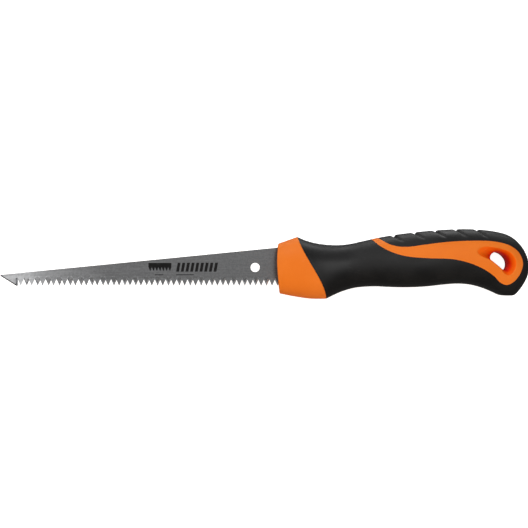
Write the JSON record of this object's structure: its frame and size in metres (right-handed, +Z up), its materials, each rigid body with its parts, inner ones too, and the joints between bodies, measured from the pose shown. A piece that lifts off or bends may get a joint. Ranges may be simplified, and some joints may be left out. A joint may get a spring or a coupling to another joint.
{
  "type": "drywall saw",
  "caption": "Fixed-blade drywall saw: tapered toothed steel blade with a sharpened point, in a two-colour moulded handle with a soft grip and a hanging eye.",
  "frame": {"origin": "bottom centre of the bounding box of the saw lying on its side", "axes": "+X from the point of the blade to the butt of the handle, +Y from the teeth to the spine, +Z up through the thickness of the saw"},
  "size_m": [0.29, 0.0384, 0.0281],
  "materials": {
    "blade_steel": "brushed",
    "trim_plastic": "satin",
    "grip_rubber": "matte",
    "core_plastic": "matte",
    "marking_ink": "matte"
  },
  "bodies": {
    "root": {"saw_blade": "blade_steel", "core_upper": "core_plastic", "core_lower": "core_plastic", "tang_rivets": "blade_steel", "bolster": "trim_plastic", "orange_inlay": "trim_plastic", "grip_skin": "grip_rubber"}
  },
  "joints": []
}
